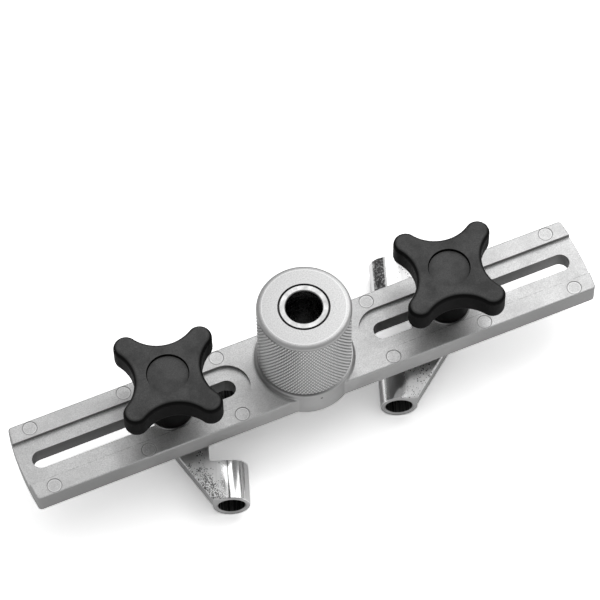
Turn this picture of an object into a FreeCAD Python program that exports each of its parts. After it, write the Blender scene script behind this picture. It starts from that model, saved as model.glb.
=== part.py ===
import FreeCAD, Part
import math
import os
import Sketcher

# Center drill guide: a slotted cast bar carries a knurled drum with a drill bush in its middle.
# Under each slot a forked arm casting slides and swivels on a stud, and a star knob above the bar clamps it.
# Millimetres, +Z up. The origin is on the floor under the axis of the drill bush, and +X runs along the bar.

SIZES = [
    # the bar
    ("bar_end_radius", 150.0, "half length, and radius of the convex ends about the drill axis"),
    ("bar_width", 42.2, "width across the bar"),
    ("bar_thickness", 12.1, "plate thickness"),
    ("bar_corner_radius", 2.0, "rounding of the four upright corners"),
    ("bar_edge_radius", 0.8, "rounding along the lower and upper edges"),
    ("slot_width", 9.4, "width of both slots"),
    ("slot_inner_reach", 37.2, "drill axis to the slot's inner end"),
    ("slot_end_wall", 6.4, "slot's outer end to the end of the bar"),
    ("track_width", 24.0, "width of the recessed track round each slot"),
    ("track_depth", 2.2, "depth of the track below the bar's top"),
    ("boss_radius", 24.3, "round boss in the middle of the bar"),
    ("boss_rise", 4.4, "height of the boss above the bar's top"),
    ("boss_edge_radius", 1.2, "rounding of the boss's rim"),
    ("boss_foot_radius", 1.2, "fillet where the boss meets the bar's top"),
    ("mark_radius", 3.6, "round ejector-pin marks"),
    ("mark_depth", 0.15, "depth of the marks"),
    ("mark_row_offset", 16.9, "centre line to a row of marks"),
    ("mark_inner_reach", 40.3, "drill axis to the first mark of a row"),
    ("mark_end_margin", 11.5, "last mark of a row to the end of the bar"),
    # the drum and its bush
    ("drum_radius", 23.2, "knurled part of the drum"),
    ("drum_rise", 46.15, "height of the drum above the boss"),
    ("drum_edge_radius", 2.0, "rounding of the drum's upper edge"),
    ("drum_foot_chamfer", 0.3, "chamfer where the drum stands on the boss"),
    ("spigot_radius", 15.95, "threaded spigot that screws into the boss"),
    ("spigot_clearance", 0.05, "radial clearance of the spigot in the boss"),
    ("spigot_chamfer", 1.0, "lead-in at the spigot's lower end"),
    ("shoulder_height", 2.6, "inward shoulder that the bush stands on"),
    ("shoulder_radius", 10.6, "hole through the shoulder"),
    ("bush_radius", 12.26, "outside of the drill bush"),
    ("bush_clearance", 0.05, "radial clearance of the bush in the drum"),
    ("bush_bore_radius", 9.0, "bore that guides the drill"),
    ("bush_mouth_chamfer", 0.35, "chamfer at both mouths of the bore"),
    ("bush_foot_chamfer", 0.4, "lead-in at the bush's lower end"),
    ("ring_groove_step", 0.3, "step round the bush's upper rim"),
    ("ring_groove_relief", 0.35, "widening of the drum's bore round that step"),
    ("ring_groove_depth", 0.8, "depth of the groove that the two leave"),
    # the arm castings
    ("arm_axis_reach", 26.7, "pivot to the axis of the bored bosses"),
    ("arm_half_span", 41.0, "arm's centre line to the outer ends of the bosses"),
    ("arm_half_gap", 20.0, "arm's centre line to the inner ends of the bosses"),
    ("arm_boss_radius", 9.2, "outside of the bored bosses, which rest on the floor"),
    ("arm_bore_radius", 6.7, "bore through the bosses"),
    ("arm_bore_chamfer", 0.7, "chamfer at the outer mouths of the bores"),
    ("arm_boss_edge", 0.5, "rounding of the outer ends of the bosses"),
    ("arm_web_rise", 9.15, "boss axis to the flat top of the web"),
    ("arm_web_thickness", 7.6, "thickness of the web"),
    ("arm_web_edge", 1.0, "rounding of the web's upper edges"),
    ("arm_web_inner_reach", 17.0, "pivot to the straight inner edge of the web"),
    ("arm_gap_corner", 1.5, "rounding of the two inner corners between the web and the bosses"),
    ("arm_wing_reach", 17.7, "pivot to the corner of the web at a boss's outer end"),
    ("arm_hub_radius", 7.6, "round hub at the pivot"),
    ("arm_hub_rise", 8.35, "height of the hub above the web, up to the bar"),
    ("arm_swing", 19.4, "degrees that both arms are swung from square"),
    ("left_reach", 71.1, "drill axis to the left pivot"),
    ("right_reach", 76.8, "drill axis to the right pivot"),
    # the stud
    ("stud_head_radius", 7.2, "round head under the web"),
    ("stud_head_height", 3.6, "height of the head"),
    ("stud_head_edge", 0.8, "chamfer of the head"),
    ("stud_shoulder_radius", 5.0, "round shoulder in the arm's hub"),
    ("stud_shoulder_clearance", 0.05, "radial clearance of the shoulder"),
    ("stud_flat_clearance", 0.1, "clearance of each flat in the slot"),
    ("stud_neck_gap", 0.6, "top of the neck below the track, so that the knob can clamp"),
    ("stud_thread_radius", 3.9, "threaded end"),
    ("stud_thread_rise", 31.0, "length of the threaded end above the track"),
    ("stud_thread_chamfer", 0.8, "chamfer at the end of the thread"),
    ("stud_thread_clearance", 0.05, "radial clearance of the thread in the insert"),
    # the washer
    ("washer_radius", 11.6, "outside of the washer"),
    ("washer_thickness", 1.6, "thickness of the washer"),
    ("washer_clearance", 0.3, "radial clearance of the washer on the thread"),
    ("washer_edge", 0.3, "chamfer of the washer's rims"),
    # the star knob
    ("knob_radius", 31.5, "centre to the tip of a lobe"),
    ("knob_tip_radius", 6.1, "rounding of a lobe's tip in plan"),
    ("knob_waist_radius", 16.6, "centre to the hollow between two lobes"),
    ("knob_head_height", 15.5, "height of the lobes"),
    ("knob_top_edge", 2.6, "rounding of the lobes' upper edge"),
    ("knob_bottom_edge", 3.8, "rounding of the lobes' lower edge"),
    ("knob_hub_ledge", 1.8, "flat underside left between the round hub and the rounded hollows"),
    ("knob_hub_height", 20.9, "height of the hub below the lobes"),
    ("knob_hub_fillet", 1.3, "fillet between the hub and the lobes"),
    ("knob_hub_foot", 0.8, "rounding of the hub's lower rim"),
    ("left_knob_turn", 31.3, "degrees from the bar to a lobe of the left knob"),
    ("right_knob_turn", 32.9, "degrees from the bar to a lobe of the right knob"),
    # the insert in the knob
    ("insert_radius", 6.5, "outside of the threaded insert"),
    ("insert_length", 20.0, "length of the insert"),
    ("insert_groove_depth", 0.8, "ring grooves that hold the insert in the moulding"),
    ("insert_groove_width", 2.0, "width of a ring groove"),
    ("insert_mouth_chamfer", 0.6, "chamfer at both mouths of the thread"),
    # the cap in the knob
    ("cap_radius", 10.3, "outside of the cap"),
    ("cap_clearance", 0.1, "radial clearance of the cap in the knob"),
    ("cap_depth", 1.5, "top of the cap below the top of the knob"),
    ("cap_thickness", 1.6, "thickness of the cap's disc"),
    ("cap_edge", 0.3, "rounding of the cap's rim"),
    ("cap_skirt_height", 2.0, "skirt that snaps into the knob below the disc"),
    ("cap_skirt_wall", 1.2, "wall of the skirt"),
    ("cap_seat_radius", 7.6, "well in the knob below the cap"),
]

doc = FreeCAD.newDocument("center_drill_guide")
sheet = doc.addObject("Spreadsheet::Sheet", "sizes")
for row, (alias, number, meaning) in enumerate(SIZES, 1):
    sheet.set(f"A{row}", meaning)
    sheet.set(f"B{row}", str(number))
    sheet.setAlias(f"B{row}", alias)
doc.recompute()

# lengths that follow from the driving sizes
UNDERSIDE = "(sizes.arm_boss_radius + sizes.arm_web_rise + sizes.arm_hub_rise)"
BAR_TOP = f"({UNDERSIDE} + sizes.bar_thickness)"
TRACK_FLOOR = f"({BAR_TOP} - sizes.track_depth)"
BOSS_TOP = "(sizes.bar_thickness + sizes.boss_rise)"
WEB_TOP = "(sizes.arm_boss_radius + sizes.arm_web_rise)"
WEB_BOTTOM = f"({WEB_TOP} - sizes.arm_web_thickness)"
KNOB_FLOOR = f"({TRACK_FLOOR} + sizes.washer_thickness)"
KNOB_TOP = "(sizes.knob_hub_height + sizes.knob_head_height)"
CAP_FLOOR = f"({KNOB_TOP} - sizes.cap_depth - sizes.cap_thickness - sizes.cap_skirt_height)"

UP = FreeCAD.Vector(0, 0, 1)
PARTS = []


def value(expression):
    """Number that an expression of the sheet's sizes gives."""
    return float(sheet.evalExpression(expression))


def new_body(name, x="0", z="0", turn="0"):
    """Body whose place along the bar, height and turn about its upright axis follow the sheet."""
    body = doc.addObject("PartDesign::Body", name)
    body.Label = name
    body.Placement = FreeCAD.Placement(FreeCAD.Vector(value(x), 0, value(z)), FreeCAD.Rotation(UP, value(turn)))
    body.setExpression(".Placement.Base.x", x)
    body.setExpression(".Placement.Base.z", z)
    body.setExpression(".Placement.Rotation.Angle", turn)
    PARTS.append(body)
    return body


def plane_of(body, role):
    """One of the body's own origin planes."""
    return next(plane for plane in body.Origin.OriginFeatures if plane.Role == role)


def new_sketch(body, name, role="XY_Plane", offset="0", shift="0"):
    """Sketch on an origin plane of the body, lifted off it along its normal and shifted along the sketch's X."""
    sketch = body.newObject("Sketcher::SketchObject", name)
    sketch.AttachmentSupport = (plane_of(body, role), [""])
    sketch.MapMode = "FlatFace"
    sketch.setExpression(".AttachmentOffset.Base.z", offset)
    sketch.setExpression(".AttachmentOffset.Base.x", shift)
    return sketch


def bind(sketch, constraint, expression):
    """Adds a dimension to the sketch and ties it to the sheet."""
    number = sketch.addConstraint(constraint)
    sketch.setExpression(f"Constraints[{number}]", expression)


def pin(sketch, curve, point, x, y):
    """Holds a point of a curve at a place given by two expressions."""
    bind(sketch, Sketcher.Constraint("DistanceX", -1, 1, curve, point, value(x)), x)
    bind(sketch, Sketcher.Constraint("DistanceY", -1, 1, curve, point, value(y)), y)


def add_circle(sketch, x, y, radius):
    """Circle with its centre and radius tied to the sheet."""
    centre = FreeCAD.Vector(value(x), value(y), 0)
    curve = sketch.addGeometry(Part.Circle(centre, UP, value(radius)), False)
    pin(sketch, curve, 3, x, y)
    bind(sketch, Sketcher.Constraint("Radius", curve, value(radius)), radius)


def add_outline(sketch, corners):
    """Closed outline. A corner is (x, y), or (x, y, centre x, centre y, turn) before an arc.

    The arc runs to the next corner, counter-clockwise for a turn of 1 and clockwise for -1.
    """
    spots = [FreeCAD.Vector(value(corner[0]), value(corner[1]), 0) for corner in corners]
    ends = []
    for index, corner in enumerate(corners):
        start = spots[index]
        stop = spots[(index + 1) % len(spots)]
        if len(corner) == 2:
            curve = sketch.addGeometry(Part.LineSegment(start, stop), False)
            ends.append((curve, 1, 2))
            continue
        centre = FreeCAD.Vector(value(corner[2]), value(corner[3]), 0)
        turn = corner[4]
        first, last = (start, stop) if turn > 0 else (stop, start)
        first_angle = math.atan2(first.y - centre.y, first.x - centre.x)
        last_angle = math.atan2(last.y - centre.y, last.x - centre.x)
        if last_angle < first_angle:
            last_angle += 2 * math.pi
        circle = Part.Circle(centre, UP, centre.distanceToPoint(start))
        curve = sketch.addGeometry(Part.ArcOfCircle(circle, first_angle, last_angle), False)
        ends.append((curve, 1, 2) if turn > 0 else (curve, 2, 1))
    for index, (curve, start, stop) in enumerate(ends):
        next_curve, next_start, next_stop = ends[(index + 1) % len(ends)]
        sketch.addConstraint(Sketcher.Constraint("Coincident", curve, stop, next_curve, next_start))
    for (curve, start, stop), corner in zip(ends, corners):
        pin(sketch, curve, start, corner[0], corner[1])
    for index, ((curve, start, stop), corner) in enumerate(zip(ends, corners)):
        if len(corner) > 2:
            chord = spots[(index + 1) % len(spots)] - spots[index]
            # with both ends held, the centre only moves square to the chord
            across = abs(chord.y) > abs(chord.x)
            kind, expression = ("DistanceX", corner[2]) if across else ("DistanceY", corner[3])
            bind(sketch, Sketcher.Constraint(kind, -1, 1, curve, 3, value(expression)), expression)


def add_pad(body, name, sketch, length):
    """Extrusion along the sketch's normal."""
    pad = body.newObject("PartDesign::Pad", name)
    pad.Profile = sketch
    pad.setExpression("Length", length)
    doc.recompute()
    return pad


def add_pocket(body, name, sketch, depth=None, both_ways=False):
    """Cut against the sketch's normal, to a depth or right through."""
    before = body.Shape.Volume
    pocket = body.newObject("PartDesign::Pocket", name)
    pocket.Profile = sketch
    if depth is None:
        pocket.Type = "ThroughAll"
    else:
        pocket.setExpression("Length", depth)
    pocket.Midplane = both_ways
    doc.recompute()
    if pocket.Shape.Volume >= before:
        raise RuntimeError(f"{name} cuts nothing")
    return pocket


def add_revolution(body, name, corners, sketch=None):
    """Full turn of an outline of (radius, height) corners about the sketch's upright axis."""
    if sketch is None:
        sketch = new_sketch(body, name + "_profile", "XZ_Plane")
    add_outline(sketch, corners)
    turned = body.newObject("PartDesign::Revolution", name)
    turned.Profile = sketch
    turned.ReferenceAxis = (sketch, ["V_Axis"])
    turned.Angle = 360
    doc.recompute()
    return turned


def add_mirror(body, name, features, role):
    """Copies of features on the other side of an origin plane."""
    mirror = body.newObject("PartDesign::Mirrored", name)
    mirror.Originals = features
    mirror.MirrorPlane = (plane_of(body, role), [""])
    body.Tip = mirror
    doc.recompute()
    return mirror


def add_edge_feature(body, kind, name, wanted, size):
    """Fillet or chamfer on the edges of the body's tip that the test picks."""
    base = body.Tip
    edges = [f"Edge{i}" for i, edge in enumerate(base.Shape.Edges, 1) if wanted(edge)]
    if not edges:
        raise RuntimeError(f"{name} found no edge")
    feature = body.newObject(f"PartDesign::{kind}", name)
    feature.Base = (base, edges)
    feature.setExpression("Radius" if kind == "Fillet" else "Size", size)
    doc.recompute()
    return feature


NEAR = 1e-4


def close_to(number, expression):
    return abs(number - value(expression)) < NEAR


def lies_at_height(edge, height):
    """True for an edge in the level plane at that height."""
    box = edge.BoundBox
    return close_to(box.ZMin, height) and close_to(box.ZMax, height)


def lies_across(edge, reach):
    """True for an edge in one of the two planes square to Y at that reach."""
    box = edge.BoundBox
    return box.YLength < NEAR and close_to(abs(box.YMin), reach)


def is_upright(edge):
    box = edge.BoundBox
    return box.XLength < NEAR and box.YLength < NEAR


def is_ring(edge, radius):
    """True for an edge that is a circle, or a stretch of one, of that radius."""
    return isinstance(edge.Curve, Part.Circle) and close_to(edge.Curve.Radius, radius)


def make_bar():
    """Cast bar with convex ends, a boss, two slots in recessed tracks and the ejector-pin marks."""
    bar = new_body("bar", z=UNDERSIDE)
    side = "(sizes.bar_width / 2)"
    end = f"sqrt(sizes.bar_end_radius^2 - {side}^2)"
    outline = new_sketch(bar, "bar_outline")
    add_outline(outline, [
        (end, f"-{side}", "0", "0", 1),
        (end, side),
        (f"-{end}", side, "0", "0", 1),
        (f"-{end}", f"-{side}"),
    ])
    add_pad(bar, "bar_plate", outline, "sizes.bar_thickness")
    add_edge_feature(bar, "Fillet", "bar_corners", is_upright, "sizes.bar_corner_radius")
    add_edge_feature(bar, "Fillet", "bar_edges", lambda edge: lies_at_height(edge, "0")
                     or lies_at_height(edge, "sizes.bar_thickness"), "sizes.bar_edge_radius")

    boss_outline = new_sketch(bar, "boss_outline")
    add_circle(boss_outline, "0", "0", "sizes.boss_radius")
    add_pad(bar, "boss", boss_outline, BOSS_TOP)
    add_edge_feature(bar, "Fillet", "boss_foot", lambda edge: is_ring(edge, "sizes.boss_radius")
                     and lies_at_height(edge, "sizes.bar_thickness"), "sizes.boss_foot_radius")
    add_edge_feature(bar, "Fillet", "boss_rim", lambda edge: is_ring(edge, "sizes.boss_radius")
                     and lies_at_height(edge, BOSS_TOP), "sizes.boss_edge_radius")

    half_slot = "(sizes.slot_width / 2)"
    inner = f"(sizes.slot_inner_reach + {half_slot})"
    outer = f"(sizes.bar_end_radius - sizes.slot_end_wall - {half_slot})"
    half_track = "(sizes.track_width / 2)"
    past_end = "(sizes.bar_end_radius + sizes.bar_width)"
    track_outline = new_sketch(bar, "track_outline", offset="sizes.bar_thickness")
    add_outline(track_outline, [
        (inner, half_track, inner, "0", 1),
        (inner, f"-{half_track}"),
        (past_end, f"-{half_track}"),
        (past_end, half_track),
    ])
    track = add_pocket(bar, "track", track_outline, "sizes.track_depth")
    slot_outline = new_sketch(bar, "slot_outline", offset="sizes.bar_thickness")
    add_outline(slot_outline, [
        (inner, half_slot, inner, "0", 1),
        (inner, f"-{half_slot}"),
        (outer, f"-{half_slot}", outer, "0", 1),
        (outer, half_slot),
    ])
    slot = add_pocket(bar, "slot", slot_outline)
    marks_outline = new_sketch(bar, "marks_outline", offset="sizes.bar_thickness")
    last_mark = "(sizes.bar_end_radius - sizes.mark_end_margin)"
    for share in (0, 0.5, 1):
        reach = f"(sizes.mark_inner_reach + {share} * ({last_mark} - sizes.mark_inner_reach))"
        for sign in ("", "-"):
            add_circle(marks_outline, reach, f"{sign}sizes.mark_row_offset", "sizes.mark_radius")
    marks = add_pocket(bar, "marks", marks_outline, "sizes.mark_depth")
    add_mirror(bar, "other_side", [track, slot, marks], "YZ_Plane")

    bore_outline = new_sketch(bar, "boss_bore_outline", offset=BOSS_TOP)
    add_circle(bore_outline, "0", "0", "(sizes.spigot_radius + sizes.spigot_clearance)")
    add_pocket(bar, "boss_bore", bore_outline)


def make_drum():
    """Knurled drum that stands on the boss, with a spigot that screws through the bar."""
    drum = new_body("guide_drum", z=UNDERSIDE)
    top = f"({BOSS_TOP} + sizes.drum_rise)"
    edge_floor = f"({top} - sizes.drum_edge_radius)"
    edge_centre = "(sizes.drum_radius - sizes.drum_edge_radius)"
    bore = "(sizes.bush_radius + sizes.bush_clearance)"
    relief = f"({bore} + sizes.ring_groove_relief)"
    relief_floor = f"({top} - sizes.ring_groove_depth)"
    add_revolution(drum, "drum", [
        ("sizes.shoulder_radius", "0"),
        ("(sizes.spigot_radius - sizes.spigot_chamfer)", "0"),
        ("sizes.spigot_radius", "sizes.spigot_chamfer"),
        ("sizes.spigot_radius", BOSS_TOP),
        ("(sizes.drum_radius - sizes.drum_foot_chamfer)", BOSS_TOP),
        ("sizes.drum_radius", f"({BOSS_TOP} + sizes.drum_foot_chamfer)"),
        ("sizes.drum_radius", edge_floor, edge_centre, edge_floor, 1),
        (edge_centre, top),
        (relief, top),
        (relief, relief_floor),
        (bore, relief_floor),
        (bore, "sizes.shoulder_height"),
        ("sizes.shoulder_radius", "sizes.shoulder_height"),
    ])


def make_bush():
    """Drill bush, standing on the drum's shoulder and flush with the drum's top."""
    bush = new_body("guide_bush", z=f"{UNDERSIDE} + sizes.shoulder_height")
    length = f"({BOSS_TOP} + sizes.drum_rise - sizes.shoulder_height)"
    rim = "(sizes.bush_radius - sizes.ring_groove_step)"
    rim_floor = f"({length} - sizes.ring_groove_depth)"
    add_revolution(bush, "bush", [
        ("(sizes.bush_bore_radius + sizes.bush_mouth_chamfer)", "0"),
        ("(sizes.bush_radius - sizes.bush_foot_chamfer)", "0"),
        ("sizes.bush_radius", "sizes.bush_foot_chamfer"),
        ("sizes.bush_radius", rim_floor),
        (rim, rim_floor),
        (rim, length),
        ("(sizes.bush_bore_radius + sizes.bush_mouth_chamfer)", length),
        ("sizes.bush_bore_radius", f"({length} - sizes.bush_mouth_chamfer)"),
        ("sizes.bush_bore_radius", "sizes.bush_mouth_chamfer"),
    ])


def make_arm(side, reach, turn):
    """Arm casting: a V-shaped web with a hub at its point and two bored bosses on one level axis."""
    arm = new_body(f"{side}_arm", x=reach, turn=turn)
    span = "sizes.arm_half_span"
    gap = "sizes.arm_half_gap"
    axis = "sizes.arm_axis_reach"
    wing = "sizes.arm_wing_reach"
    hub = "sizes.arm_hub_radius"
    inner_edge = "sizes.arm_web_inner_reach"
    # the slanted sides touch the round hub where a line from the wing's corner is tangent to it
    square = f"({wing}^2 + {span}^2)"
    leg = f"sqrt({square} - {hub}^2)"
    touch_x = f"(({hub}^2 * {wing} - {hub} * {leg} * {span}) / {square})"
    touch_y = f"(({hub}^2 * {span} + {hub} * {leg} * {wing}) / {square})"
    web_outline = new_sketch(arm, "web_outline", offset=WEB_BOTTOM)
    add_outline(web_outline, [
        (touch_x, touch_y, "0", "0", 1),
        (touch_x, f"-{touch_y}"),
        (wing, f"-{span}"),
        (axis, f"-{span}"),
        (axis, span),
        (wing, span),
    ])
    add_pad(arm, "web", web_outline, "sizes.arm_web_thickness")
    add_edge_feature(arm, "Fillet", "web_edge", lambda edge: lies_at_height(edge, WEB_TOP)
                     and edge.BoundBox.XMin < value(axis) - NEAR, "sizes.arm_web_edge")

    # one barrel along the wings, cut away in its middle so that a boss stays at each end
    radius = "sizes.arm_boss_radius"
    rim = f"({radius} - sizes.arm_boss_edge)"
    edge_start = f"({span} - sizes.arm_boss_edge)"
    barrel_outline = new_sketch(arm, "barrel_outline", offset=radius, shift=axis)
    add_revolution(arm, "barrel", [
        ("0", f"-{span}"),
        (rim, f"-{span}"),
        (radius, f"-{edge_start}"),
        (radius, edge_start),
        (rim, span),
        ("0", span),
    ], barrel_outline)
    past_barrel = f"({axis} + 2 * {radius})"
    corner_x = f"({inner_edge} + sizes.arm_gap_corner)"
    corner_y = f"({gap} - sizes.arm_gap_corner)"
    gap_outline = new_sketch(arm, "gap_outline", offset=UNDERSIDE)
    add_outline(gap_outline, [
        (corner_x, f"-{gap}"),
        (past_barrel, f"-{gap}"),
        (past_barrel, gap),
        (corner_x, gap, corner_x, corner_y, 1),
        (inner_edge, corner_y),
        (inner_edge, f"-{corner_y}", corner_x, f"-{corner_y}", 1),
    ])
    add_pocket(arm, "gap", gap_outline)

    hub_outline = new_sketch(arm, "hub_outline", offset=WEB_BOTTOM)
    add_circle(hub_outline, "0", "0", hub)
    add_pad(arm, "hub", hub_outline, "(sizes.arm_web_thickness + sizes.arm_hub_rise)")

    bore_outline = new_sketch(arm, "bore_outline", "XZ_Plane")
    add_circle(bore_outline, axis, radius, "sizes.arm_bore_radius")
    add_pocket(arm, "bore", bore_outline, both_ways=True)
    pivot_outline = new_sketch(arm, "pivot_outline", offset=UNDERSIDE)
    add_circle(pivot_outline, "0", "0", "(sizes.stud_shoulder_radius + sizes.stud_shoulder_clearance)")
    add_pocket(arm, "pivot_bore", pivot_outline)
    add_edge_feature(arm, "Chamfer", "bore_mouths", lambda edge: is_ring(edge, "sizes.arm_bore_radius")
                     and lies_across(edge, span), "sizes.arm_bore_chamfer")


def make_stud(side, reach):
    """Clamp screw: head under the web, shoulder in the hub, flats in the slot and a threaded end."""
    stud = new_body(f"{side}_stud", x=reach)
    head_floor = f"({WEB_BOTTOM} - sizes.stud_head_height)"
    neck_top = f"({TRACK_FLOOR} - sizes.stud_neck_gap)"
    thread_top = f"({TRACK_FLOOR} + sizes.stud_thread_rise)"
    add_revolution(stud, "stud", [
        ("0", head_floor),
        ("(sizes.stud_head_radius - sizes.stud_head_edge)", head_floor),
        ("sizes.stud_head_radius", f"({head_floor} + sizes.stud_head_edge)"),
        ("sizes.stud_head_radius", WEB_BOTTOM),
        ("sizes.stud_shoulder_radius", WEB_BOTTOM),
        ("sizes.stud_shoulder_radius", neck_top),
        ("sizes.stud_thread_radius", neck_top),
        ("sizes.stud_thread_radius", f"({thread_top} - sizes.stud_thread_chamfer)"),
        ("(sizes.stud_thread_radius - sizes.stud_thread_chamfer)", thread_top),
        ("0", thread_top),
    ])
    flat = "(sizes.slot_width / 2 - sizes.stud_flat_clearance)"
    flats_outline = new_sketch(stud, "flats_outline", offset=neck_top)
    reach_out = "(2 * sizes.stud_shoulder_radius)"
    for sign in ("", "-"):
        add_outline(flats_outline, [
            (f"-{reach_out}", f"{sign}{flat}"),
            (reach_out, f"{sign}{flat}"),
            (reach_out, f"{sign}{reach_out}"),
            (f"-{reach_out}", f"{sign}{reach_out}"),
        ])
    add_pocket(stud, "flats", flats_outline, f"({neck_top} - {UNDERSIDE})")


def make_washer(side, reach):
    """Plain washer between the knob and the track."""
    washer = new_body(f"{side}_washer", x=reach, z=TRACK_FLOOR)
    hole = "(sizes.stud_thread_radius + sizes.washer_clearance)"
    rim = "(sizes.washer_radius - sizes.washer_edge)"
    add_revolution(washer, "washer", [
        (hole, "0"),
        (rim, "0"),
        ("sizes.washer_radius", "sizes.washer_edge"),
        ("sizes.washer_radius", "(sizes.washer_thickness - sizes.washer_edge)"),
        (rim, "sizes.washer_thickness"),
        (hole, "sizes.washer_thickness"),
    ])


def star_corners():
    """Plan outline of the knob: four lobe tips joined by hollow arcs that are tangent to them."""
    tip = "sizes.knob_tip_radius"
    lobe = f"(sizes.knob_radius - {tip})"
    hollow = f"(sizes.knob_waist_radius - {tip})"
    arc_centre = f"(({lobe}^2 - {hollow}^2) / (sqrt(2) * {lobe} - 2 * {hollow}))"
    arc_radius = f"({arc_centre} - sizes.knob_waist_radius)"
    diagonal = f"({arc_centre} * sqrt(0.5))"
    share = f"({tip} / ({arc_radius} + {tip}))"
    touch_x = f"({lobe} + {share} * ({diagonal} - {lobe}))"
    touch_y = f"({share} * {diagonal})"
    corners = []
    for quarter in range(4):
        corners.append(turned(quarter, touch_x, f"-{touch_y}") + turned(quarter, lobe, "0") + (1,))
        corners.append(turned(quarter, touch_x, touch_y) + turned(quarter, diagonal, diagonal) + (-1,))
    return corners


def turned(quarter, x, y):
    """Place (x, y) after that many quarter turns, as two expressions."""
    for step in range(quarter):
        x, y = f"-({y})", x
    return (x, y)


def make_knob(side, reach, turn):
    """Star knob: four lobes with rounded edges on a round hub, bored for the insert and the cap."""
    knob = new_body(f"{side}_knob", x=reach, z=KNOB_FLOOR, turn=turn)
    star_outline = new_sketch(knob, "star_outline", offset="sizes.knob_hub_height")
    add_outline(star_outline, star_corners())
    add_pad(knob, "lobes", star_outline, "sizes.knob_head_height")
    add_edge_feature(knob, "Fillet", "lobes_top_edge", lambda edge: lies_at_height(edge, KNOB_TOP),
                     "sizes.knob_top_edge")
    add_edge_feature(knob, "Fillet", "lobes_bottom_edge",
                     lambda edge: lies_at_height(edge, "sizes.knob_hub_height"), "sizes.knob_bottom_edge")
    hub = "(sizes.knob_waist_radius - sizes.knob_bottom_edge - sizes.knob_hub_ledge)"
    hub_outline = new_sketch(knob, "hub_outline")
    add_circle(hub_outline, "0", "0", hub)
    add_pad(knob, "hub", hub_outline, "(sizes.knob_hub_height + sizes.knob_bottom_edge)")
    add_edge_feature(knob, "Fillet", "hub_fillet", lambda edge: is_ring(edge, hub)
                     and lies_at_height(edge, "sizes.knob_hub_height"), "sizes.knob_hub_fillet")
    add_edge_feature(knob, "Fillet", "hub_foot", lambda edge: is_ring(edge, hub)
                     and lies_at_height(edge, "0"), "sizes.knob_hub_foot")

    cap_outline = new_sketch(knob, "cap_outline", offset=KNOB_TOP)
    add_circle(cap_outline, "0", "0", "(sizes.cap_radius + sizes.cap_clearance)")
    add_pocket(knob, "cap_recess", cap_outline, "(sizes.cap_depth + sizes.cap_thickness)")
    well_outline = new_sketch(knob, "well_outline", offset=KNOB_TOP)
    add_circle(well_outline, "0", "0", "sizes.cap_seat_radius")
    add_pocket(knob, "cap_well", well_outline, f"({KNOB_TOP} - {CAP_FLOOR})")
    insert_outline = new_sketch(knob, "insert_outline", offset=KNOB_TOP)
    add_circle(insert_outline, "0", "0", "sizes.insert_radius")
    add_pocket(knob, "insert_bore", insert_outline)


def make_insert(side, reach):
    """Threaded metal bush in the knob, with two ring grooves that the moulding grips."""
    insert = new_body(f"{side}_knob_insert", x=reach, z=KNOB_FLOOR)
    bore = "(sizes.stud_thread_radius + sizes.stud_thread_clearance)"
    mouth = f"({bore} + sizes.insert_mouth_chamfer)"
    groove = "(sizes.insert_radius - sizes.insert_groove_depth)"
    corners = [(mouth, "0"), ("sizes.insert_radius", "0")]
    for share in (1, 2):
        middle = f"(sizes.insert_length * {share} / 3)"
        low = f"({middle} - sizes.insert_groove_width / 2)"
        high = f"({middle} + sizes.insert_groove_width / 2)"
        corners += [("sizes.insert_radius", low), (groove, low), (groove, high), ("sizes.insert_radius", high)]
    corners += [
        ("sizes.insert_radius", "sizes.insert_length"),
        (mouth, "sizes.insert_length"),
        (bore, "(sizes.insert_length - sizes.insert_mouth_chamfer)"),
        (bore, "sizes.insert_mouth_chamfer"),
    ]
    add_revolution(insert, "insert", corners)


def make_cap(side, reach):
    """Cover disc sunk in the knob's top, with a skirt below it that grips the well."""
    cap = new_body(f"{side}_knob_cap", x=reach, z=f"{KNOB_FLOOR} + {CAP_FLOOR}")
    disc_floor = "sizes.cap_skirt_height"
    top = "(sizes.cap_skirt_height + sizes.cap_thickness)"
    skirt = "(sizes.cap_seat_radius - sizes.cap_clearance)"
    add_revolution(cap, "cap", [
        ("0", disc_floor),
        (f"({skirt} - sizes.cap_skirt_wall)", disc_floor),
        (f"({skirt} - sizes.cap_skirt_wall)", "0"),
        (skirt, "0"),
        (skirt, disc_floor),
        ("sizes.cap_radius", disc_floor),
        ("sizes.cap_radius", f"({top} - sizes.cap_edge)"),
        ("(sizes.cap_radius - sizes.cap_edge)", top),
        ("0", top),
    ])


make_bar()
make_drum()
make_bush()
for side, reach, arm_turn, knob_turn in (
        ("left", "-sizes.left_reach", "-sizes.arm_swing", "sizes.left_knob_turn"),
        ("right", "sizes.right_reach", "180 - sizes.arm_swing", "sizes.right_knob_turn")):
    make_arm(side, reach, arm_turn)
    make_stud(side, reach)
    make_washer(side, reach)
    make_knob(side, reach, knob_turn)
    make_insert(side, reach)
    make_cap(side, reach)

doc.recompute()
for thing in doc.Objects:
    if "Invalid" in thing.State or "Error" in thing.State:
        raise RuntimeError(f"{thing.Label} failed: {thing.State}")
os.makedirs("parts", exist_ok=True)
for part in PARTS:
    if part.Shape.isNull() or not part.Shape.isValid() or len(part.Shape.Solids) != 1:
        raise RuntimeError(f"{part.Label} is not one whole solid")
for part in PARTS:
    part.Shape.exportStep(f"parts/{part.Label}.step")
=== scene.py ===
import math

import bpy
import numpy as np
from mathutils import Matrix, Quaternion, Vector


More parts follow.
